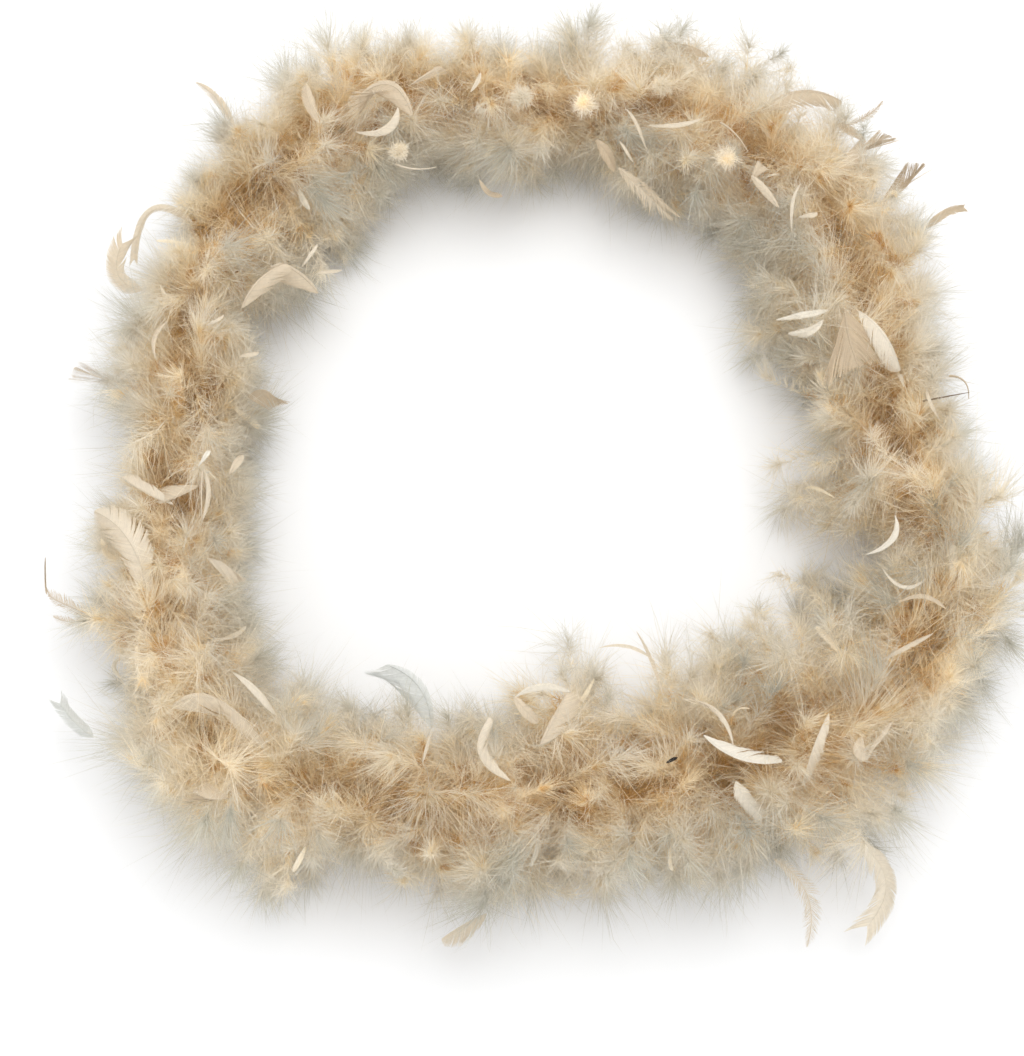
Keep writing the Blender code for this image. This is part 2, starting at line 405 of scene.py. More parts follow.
def yarn_material(name, colour, grain):
    """Cotton yarn: fine fibres lighter and darker than the dye."""
    material, tree, shader = new_material(name)
    light = tuple(min(1.0, c * 1.25) for c in colour)
    dark = tuple(c * 0.6 for c in colour)
    ramp = add_ramp(tree, ((0.3, dark), (0.5, colour), (0.72, light)))
    fibres = add_noise(tree, grain, 6.0)
    tree.links.new(fibres, ramp.inputs["Fac"])
    tree.links.new(ramp.outputs["Color"], shader.inputs["Base Color"])
    shader.inputs["Roughness"].default_value = 0.88
    shader.inputs["Sheen Weight"].default_value = 0.3
    add_bump(tree, shader, fibres, 0.5, 0.0003)
    return material


# ---------------------------------------------------------------- strips and tubes
NO_TRIS = np.zeros((0, 3), int)
FIBRE_POINTS = 7


def merged(parts):
    """Several (points, quads, triangles) as one."""
    verts, quads, tris, count = [], [], [], 0
    for v, q, t in parts:
        verts.append(v)
        quads.append(q + count)
        tris.append(t + count)
        count += len(v)
    return np.concatenate(verts), np.concatenate(quads), np.concatenate(tris)


def strips(lines, across):
    """A flat strip along each line; across is a vector of half its width at each point."""
    n, steps = lines.shape[:2]
    verts = np.stack([lines - across, lines + across], axis=2).reshape(-1, 3)
    first = np.arange(n)[:, None, None] * steps * 2 + np.arange(steps - 1)[None, :, None] * 2
    quads = (first + np.array([0, 1, 3, 2])).reshape(-1, 4)
    return verts, quads, NO_TRIS


def fibres(rng, root, aim, curl, size, half_width):
    """Fine loose fibres: three pairs of points and a pointed end, seven points each."""
    u = np.array([0.0, 0.34, 0.68, 1.0])[None, :, None]
    line = root[:, None, :] + size[:, None, None] * (aim[:, None, :] * u + curl[:, None, :] * u**2)
    tangent = aim[:, None, :] + 2 * curl[:, None, :] * u
    flat = unit(np.cross(tangent, rng.normal(0, 1, (len(root), 1, 3))))[:, :3]
    width = half_width * np.array([0.9, 1.0, 0.9])[None, :, None]
    width = width * rng.uniform(0.75, 1.25, (len(root), 1, 1))
    sides = np.stack([line[:, :3] - flat * width, line[:, :3] + flat * width], axis=2)
    verts = np.concatenate([sides.reshape(len(root), 6, 3), line[:, 3:4]], axis=1)
    k = np.arange(len(root))[:, None] * FIBRE_POINTS
    quads = np.concatenate([k + np.array([[0, 1, 3, 2]]), k + np.array([[2, 3, 5, 4]])])
    return verts.reshape(-1, 3), quads, k + np.array([[4, 5, 6]])


def tube(points, radii, sides):
    """A round tube along the points, open at its ends, where it is thin or hidden."""
    points = np.asarray(points)
    ahead = unit(np.gradient(points, axis=0))
    frames = [unit(np.cross(ahead[0], UP + np.array([0.01, 0.02, 0.0])))]
    for direction in ahead[1:]:
        last = frames[-1]
        frames.append(unit(last - direction * np.dot(last, direction)))
    first = np.array(frames)
    second = np.cross(ahead, first)
    turn = np.arange(sides) * 2 * math.pi / sides
    ring = first[:, None, :] * np.cos(turn)[None, :, None]
    ring = ring + second[:, None, :] * np.sin(turn)[None, :, None]
    verts = points[:, None, :] + ring * np.broadcast_to(radii, len(points))[:, None, None]
    i, j = np.meshgrid(np.arange(len(points) - 1), np.arange(sides), indexing="ij")
    n = (j + 1) % sides
    quads = np.stack([i * sides + j, i * sides + n, (i + 1) * sides + n, (i + 1) * sides + j], axis=-1)
    return verts.reshape(-1, 3), quads.reshape(-1, 4), NO_TRIS


# ---------------------------------------------------------------- a feather with a closed vane
BARB_STEP = 0.00055  # from one barb to the next along the shaft


def leaf_width(u):
    return np.sin(math.pi * u**0.8) ** 0.7


def blunt_width(u):
    round_end = np.sqrt(np.clip(1 - (np.maximum(u - 0.58, 0) / 0.42) ** 2, 0, 1))
    return np.minimum(u / 0.5, 1) ** 0.8 * round_end


def ribbon_width(u):
    return np.minimum(u / 0.12, 1) ** 0.6


def crescent_width(u):
    return np.sin(math.pi * u) ** 0.8


# how the width runs, and how much of it is left and right of the shaft
KINDS = {
    "leaf": (leaf_width, 0.5, 0.5),
    "left": (leaf_width, 0.88, 0.12),
    "right": (leaf_width, 0.12, 0.88),
    "blunt": (blunt_width, 0.5, 0.5),
    "ribbon": (ribbon_width, 0.45, 0.55),
    "sickle": (crescent_width, 0.3, 0.7),
    "wisp": (leaf_width, 0.5, 0.5),
    "fan": (None, 0.5, 0.5),
}


def bent_line(base, middle, tip, n):
    """Points and directions of an arc through the three points."""
    u = np.linspace(0, 1, n)[:, None]
    pull = 2 * middle - (base + tip) / 2
    points = (1 - u) ** 2 * base + 2 * u * (1 - u) * pull + u**2 * tip
    return points, unit((1 - u) * (pull - base) + u * (tip - pull))


def vane_side(rng, points, ahead, side, face, width, profile, sign, loose):
    """The barbs of one side of a vane: strips laid edge to edge, in clumps with small splits.

    With no profile they all end in one line across the tip, as a fan's do.
    """
    n = len(points)
    u = ((np.arange(n) + 0.5) / n)[:, None]
    side = side * sign
    if profile is None:
        ragged = 0.06 * width * rng.normal(0, 1, (n, 1))
        end = points[-1] + side[-1] * (width * (1 - u) ** 0.9) + ahead[-1] * ragged
        bow = points + (end - points) * 0.5 + side * width * 0.06 * (1 - u)
        half = width * (1 - u)
    else:
        half = width * profile(u)
        angle = np.radians(50 - 20 * u)
        forward = half / np.tan(angle)
        end = points + side * half + ahead * forward
        bow = points + side * half * 0.62 + ahead * forward * 0.4
    t = np.array([0.0, 0.3, 0.65, 1.0])[None, :, None]
    lines = (1 - t) ** 2 * points[:, None] + 2 * t * (1 - t) * bow[:, None] + t**2 * end[:, None]
    lines = lines - face[:, None] * (0.3 * half[:, None] * t**2)
    run = unit(np.gradient(lines, axis=1))
    gap = np.gradient(lines, axis=0)
    gap -= run * np.sum(gap * run, axis=-1, keepdims=True)
    gap = np.linalg.norm(gap, axis=-1, keepdims=True)
    cover = 0.3 if loose else 0.66
    taper = np.array([1.0, 1.0, 0.95, 0.35])[None, :, None]
    in_plane = unit(np.cross(face[:, None], run))
    across = in_plane * np.minimum(gap * cover, 0.0006) * taper + face[:, None] * 0.00007
    clump = np.cumsum(rng.uniform(size=n) < 0.13)

    def strayed(of_clump, of_barb):
        """How far barbs stray: a clump's barbs together, and then each one."""
        return (rng.normal(0, of_clump, clump[-1] + 1)[clump] + rng.normal(0, of_barb, n))[:, None, None]

    sway = strayed(0.16, 0.12) if loose else strayed(0.045, 0.012)
    lift = strayed(0.10, 0.10) if loose else strayed(0.03, 0.01)
    span = np.linalg.norm(end - points, axis=1)[:, None, None]
    lines = lines + (in_plane * sway + face[:, None] * lift) * span * t**1.5
    return strips(lines, across)


def vaned_feather(rng, base, middle, tip, width, kind, rolls=(0.0, 0.0), face_up=UP):
    """A feather's shaft and vane, and how bright each point is."""
    length = np.linalg.norm(middle - base) + np.linalg.norm(tip - middle)
    if kind == "quill":
        points, _ = bent_line(base, middle, tip, 14)
        shaft = tube(points, np.linspace(0.5, 0.16, 14) * width, 5)
        return shaft, np.full(len(shaft[0]), 1.0)
    profile, left, right = KINDS[kind]
    count = max(10, int(length / (BARB_STEP * (1.6 if kind == "wisp" else 1.0))))
    points, ahead = bent_line(base, middle, tip, count)
    side = unit(np.cross(ahead, face_up))
    face = np.cross(side, ahead)
    roll = np.radians(np.linspace(*rolls, count))[:, None]
    side, face = side * np.cos(roll) + face * np.sin(roll), face * np.cos(roll) - side * np.sin(roll)
    parts, shades = [], []
    for sign, share in ((1, right), (-1, left)):
        part = vane_side(rng, points, ahead, side, face, width * share, profile, sign, kind == "wisp")
        parts.append(part)
        shades.append(np.repeat(rng.normal(1.0, 0.035, count), len(part[0]) // count))
    shaft = tube(points[:: max(1, count // 14)], 0.00016 + 0.012 * width, 5)
    parts.append(shaft)
    shades.append(np.full(len(shaft[0]), 1.04))
    return merged(parts), np.concatenate(shades)


# ---------------------------------------------------------------- down
PLUMES = 30  # to a tuft
BUNDLES = 42  # along a plume's shaft
CROWN_BUNDLES = 13  # fanned out from its tip
FIBRES = 7  # to a bundle
BARB = 0.031  # length of a long barb
FLATTEN = 0.34  # how much more of the down lies to the sides than up and down
BOXY = 3.0  # the power of the superellipse that the fluff's section follows
SHAFT_MARGIN = 0.015  # from a shaft's end to the fluff's outline
FIBRE_HALF_WIDTH = 0.00015
PAST_OUTLINE = 0.007  # how far barbs may stick out of that outline
ALONG_OUTLINE = 0.016  # how long barbs may be that grow right at it
ROOM_FOR_LENGTH = 1.2  # and how much longer for each metre of room further in
CROWN_SIZE = 0.78  # how long the fan's barbs are, as a share of a long barb
CROWN_TURN = 2.4  # radians from one bundle of the fan to the next
CROWN_UNTIDY = 1.6  # how much more the fan's barbs stray than the others
GOLDEN_ANGLE = math.radians(137.5)  # from one plume to the next, round the cord
SHAFT_POINTS = 8
SHAFT_HALF_WIDTH = 0.00028
# this share greys and darkens the strand's sides and outline: painted shade
SIDE_SHADE_SHARE = 0.42  # of the colour's depth, what comes from how far to the side a point is
SMALL_TIPS = 7  # to a tuft
TIP_KINDS = ("leaf", "left", "right", "sickle", "sickle", "quill", "quill", "blunt")


def lobes(s, angle):
    """The slow swelling and shrinking of the fluff along the boa."""
    waves = ((41, 0.7, 1), (67, 2.1, -1), (97, 4.0, 2), (143, 1.2, -2))
    return sum(np.sin(f * s + shift + turns * angle) for f, shift, turns in waves) / len(waves)


def oval_reach(s, angle):
    """How far the fluff goes from the cord at this angle round it."""
    across = np.abs(np.cos(angle)) / spread_at(s, angle)
    over = np.abs(np.sin(angle)) / CROWN
    return (across**BOXY + over**BOXY) ** (-1 / BOXY) * (1 + 0.07 * lobes(s, angle))


def outline_at(points, s):
    """How far points near s are from the cord, how far the fluff goes there, and the way out."""
    ahead = heading(s)
    side = np.cross(ahead, UP)
    offset = points - on_route(s)
    level = np.sum(offset * side, axis=1)
    distance = np.hypot(level, offset[:, 2])
    outward = unit(side * level[:, None] + UP * offset[:, 2:])
    edge = oval_reach(s + np.sum(offset * ahead, axis=1), np.arctan2(offset[:, 2], level))
    return distance, edge, outward


def end_lean(s):
    """How far plumes lean past the boa's ends, to close the ring."""
    near = 0.07
    return -1.1 * np.clip(1 - s / near, 0, 1) + 1.1 * np.clip(1 - (BOA_LENGTH - s) / near, 0, 1)


Plumes = namedtuple("Plumes", "s base direction length bend reach level_share")


def plumes_of_tuft(rng, start, end):
    """The shafts of a tuft's down feathers, from start to end along the boa."""
    n = PLUMES
    s = start + (end - start) * (np.arange(n) + rng.uniform(0, 1, n)) / n
    angle = rng.uniform(0, 2 * math.pi) + np.arange(n) * GOLDEN_ANGLE + rng.normal(0, 0.2, n)
    angle -= FLATTEN / 2 * np.sin(2 * angle)
    ahead = heading(s)
    side = np.cross(ahead, UP)
    out = side * np.cos(angle)[:, None] + UP * np.sin(angle)[:, None]
    lean = rng.normal(0, 0.42, n) + end_lean(s)
    direction = unit(out + ahead * lean[:, None])
    length = (oval_reach(s, angle) - 0.45 * BARB) * np.sqrt(rng.uniform(0.46, 1.0, n))
    fall = rng.uniform(0, 2 * math.pi, n)
    fall = side * np.cos(fall)[:, None] + ahead * np.sin(fall)[:, None]
    bend = rng.normal(0, 0.26, (n, 3)) - UP * 0.12 * np.abs(np.cos(angle))[:, None]
    bend += fall * (0.8 * np.sin(angle) ** 2)[:, None]
    length /= np.clip(np.sum((direction + bend) * out, axis=1), 0.75, 1.4)
    base = on_route(s) + out * CORD_DIAMETER * 0.4
    distance, edge, _ = outline_at(base + length[:, None] * (direction + bend), s)
    length /= np.maximum(distance / (edge - SHAFT_MARGIN), 1.0)
    return Plumes(s, base, direction, length, bend, oval_reach(s, angle), np.cos(angle))


def along_shafts(plumes, p, t):
    """Points and directions at t along the shafts of the plumes p."""
    t = t[:, None]
    run = plumes.direction[p] * t + plumes.bend[p] * t**2
    points = plumes.base[p] + plumes.length[p][:, None] * run
    return points, unit(plumes.direction[p] + 2 * plumes.bend[p] * t)


def loose_barbs(rng, plumes):
    """The plumes' barbs, and which plume each is on: bundles along a shaft, and a fan at its tip."""
    per = BUNDLES + CROWN_BUNDLES
    count = PLUMES * per
    p = np.repeat(np.arange(PLUMES), per)
    crown = np.tile(np.arange(per) >= BUNDLES, PLUMES)
    down_the_shaft = np.linspace(0.02, 0.97, BUNDLES) ** 0.7
    at_its_tip = np.linspace(0.93, 1.0, CROWN_BUNDLES)
    t = np.tile(np.concatenate([down_the_shaft, at_its_tip]), PLUMES)
    t = np.clip(t + rng.normal(0, 0.01, count), 0.0, 1.0)
    root, along = along_shafts(plumes, p, t)
    across = unit(np.cross(along, rng.normal(0, 1, (PLUMES, 3))[p] + UP * 0.3))
    third = np.cross(along, across)
    openness = rng.uniform(0.6, 1.1, PLUMES)[p]
    comb = (rng.normal(0, 0.34, (PLUMES, 3)) + 0.3 * plumes.bend)[p]
    untidy = (rng.uniform(0.20, 0.42, PLUMES)[p] * np.where(crown, CROWN_UNTIDY, 1.0))[:, None]

    # which way each bundle goes from its shaft: a row on each side, and all round at the tip
    order = np.tile(np.arange(per), PLUMES)
    side_row = np.where(order % 2 == 0, 0.0, math.pi)
    roll = np.where(crown, order * CROWN_TURN, side_row) + rng.normal(0, 0.85, count)
    roll += t * rng.uniform(-2, 2, PLUMES)[p]
    sideways = across * np.cos(roll)[:, None] + third * np.sin(roll)[:, None]
    wide = np.radians(78 - 16 * t + rng.normal(0, 13, count)) * openness
    fan = np.radians(rng.uniform(15, 85, count)) * openness
    open_angle = np.where(crown, fan, wide)
    aim = along * np.cos(open_angle)[:, None] + sideways * np.sin(open_angle)[:, None]
    size = BARB * np.where(crown, CROWN_SIZE, 0.86 + 0.25 * np.sin(math.pi * t) - 0.2 * t)
    size = size * rng.uniform(0.7, 1.15, count)
    size *= np.clip(rng.lognormal(-0.02, 0.28, PLUMES), 0.55, 1.35)[p]
    distance, edge, outward = outline_at(root, plumes.s[p])
    room = np.maximum(edge * rng.normal(1.02, 0.05, count) - distance, 0.0)
    curl = rng.normal(0, 0.22, (count, 3)) + along * 0.1 - UP * 0.06 + comb

    # the barbs of each bundle, which near the outline are only as long as the room they have left
    q = np.repeat(np.arange(count), FIBRES)
    n = len(q)
    aim = unit(aim[q] + rng.normal(0, 1, (n, 3)) * untidy[q])
    curl = curl[q] + rng.normal(0, 1, (n, 3)) * untidy[q]
    size = size[q] * rng.uniform(0.5, 1.1, n)
    outgoing = np.clip(np.sum((aim + curl) * outward[q], axis=1), 0.3, 1.2)
    size = np.minimum(size, room[q] / outgoing + PAST_OUTLINE)
    size = np.minimum(size, ROOM_FOR_LENGTH * room[q] + ALONG_OUTLINE)
    return fibres(rng, root[q], aim, curl, size, FIBRE_HALF_WIDTH), p[q]


def plume_shafts(rng, plumes):
    """The shafts themselves, as thin strips."""
    p = np.repeat(np.arange(PLUMES), SHAFT_POINTS)
    t = np.tile(np.linspace(0, 1, SHAFT_POINTS), PLUMES)
    points, directions = along_shafts(plumes, p, t)
    flat = unit(np.cross(directions, rng.normal(0, 1, (PLUMES, 3))[p]))
    thin = (SHAFT_HALF_WIDTH * (1 - 0.75 * t))[:, None]
    shape = (PLUMES, SHAFT_POINTS, 3)
    return strips(points.reshape(shape), (flat * thin).reshape(shape))


def shade_depth_in_fluff(verts, own, plumes, middle):
    """How deep the colour is at each point: 0 at the cord, 1 at the end of its plume's reach; both ends
    take painted shade.
    """
    near = CURVE[np.abs(CURVE[:, 0] - middle) < 0.12]
    spine = np.column_stack([near[:, 1], near[:, 2], np.full(len(near), CORD_HEIGHT)])
    distance = np.full(len(verts), np.inf)
    level = np.full(len(verts), np.inf)
    for point in spine[::3]:
        distance = np.minimum(distance, np.linalg.norm(verts - point, axis=1))
        level = np.minimum(level, np.linalg.norm(verts[:, :2] - point[:2], axis=1))
    level_reach = plumes.reach * np.maximum(np.abs(plumes.level_share), 0.6)
    outwards = np.clip(distance / plumes.reach[own], 0, 1.1)
    sideways = np.clip(level / level_reach[own], 0, 1.1)
    return (1 - SIDE_SHADE_SHARE) * outwards + SIDE_SHADE_SHARE * sideways


def small_tip(rng, plumes):
    """One small closed tip or bare quill near the end of a plume, and how bright its points are."""
    p = rng.integers(PLUMES)
    ends, ways = along_shafts(plumes, np.array([p, p]), np.array([0.72, 0.95]))
    way = unit(ways[1] + rng.normal(0, 0.35, 3) * np.array([1, 1, 0.5]))
    size = rng.uniform(0.014, 0.032)
    start = ends[0] + rng.normal(0, 0.004, 3)
    distance, edge, _ = outline_at((start + way * size)[None], plumes.s[p])
    size = max(size - max(distance[0] - edge[0], 0.0), 0.008)
    middle = start + way * size / 2 + rng.normal(0, 0.14, 3) * size
    kind = TIP_KINDS[rng.integers(len(TIP_KINDS))]
    width = rng.uniform(0.12, 0.26) * size if kind != "quill" else 0.0007
    face_up = UP + rng.normal(0, 0.5, 3)
    rolls = (0, rng.normal(0, 40))
    return vaned_feather(rng, start, middle, start + way * size, width, kind, rolls, face_up)


def down_tuft(index, material):
    """A tuft of down plumes, which stands for one of the CAD tufts."""
    rng = np.random.default_rng(1000 + index)
    start = BOA_LENGTH * index / TUFT_COUNT
    end = BOA_LENGTH * (index + 1) / TUFT_COUNT
    plumes = plumes_of_tuft(rng, start, end)
    barbs, plume_of_barb = loose_barbs(rng, plumes)
    verts, quads, tris = merged([barbs, plume_shafts(rng, plumes)])
    plume_of_shaft_point = np.repeat(np.arange(PLUMES), SHAFT_POINTS * 2)
    own = np.concatenate([np.repeat(plume_of_barb, FIBRE_POINTS), plume_of_shaft_point])

    # the colour's depth, which sets its painted shade, and brightness, which vary from plume to plume
    # and from barb to barb
    n = len(plume_of_barb)
    shade_depth = shade_depth_in_fluff(verts, own, plumes, (start + end) / 2)
    shade_depth += rng.normal(0, 0.07, PLUMES)[own]
    shade_depth[: FIBRE_POINTS * n] += np.repeat(rng.normal(0, 0.03, n), FIBRE_POINTS)
    pale = pale_at(plumes.s)
    shade_depth += pale[own] * np.maximum(CREAM_DEPTH - shade_depth, 0.0)
    bright = rng.normal(1.0, 0.045, PLUMES) * (1 + 0.10 * pale)
    of_barbs = np.repeat(bright[plume_of_barb] * rng.normal(1.0, 0.045, n), FIBRE_POINTS)
    shade = np.concatenate([of_barbs, bright[plume_of_shaft_point]])

    meshes = [(verts, quads, tris)]
    shade_depths, shades = [shade_depth], [shade]
    for _ in range(SMALL_TIPS):
        mesh, bright_tip = small_tip(rng, plumes)
        meshes.append(mesh)
        shade_depths.append(np.full(len(mesh[0]), rng.uniform(0.5, 0.85)))
        shades.append(bright_tip * rng.uniform(0.98, 1.1))
    verts, quads, tris = merged(meshes)
    attributes = (("shade_depth", np.concatenate(shade_depths)), ("shade", np.concatenate(shades)))
    name = f"down_tuft_{index + 1:02d}"
    obj = make_mesh(name, keep_inside(verts), quads, tris, material, attributes)
    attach(obj, "root")
    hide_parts(f"feather_tuft_{index + 1:02d}")


down = down_material()
for index in range(TUFT_COUNT):
    down_tuft(index, down)

# ---------------------------------------------------------------- flat feathers
PUFF_FIBRES = 900
PUFF_HALF_WIDTH = 0.00016  # of its fibres
# the down's gold at 0 and grey at 1 are painted shade
PUFF_DEPTH = 0.76  # where its colour is, from the down's gold at 0 to its grey at 1
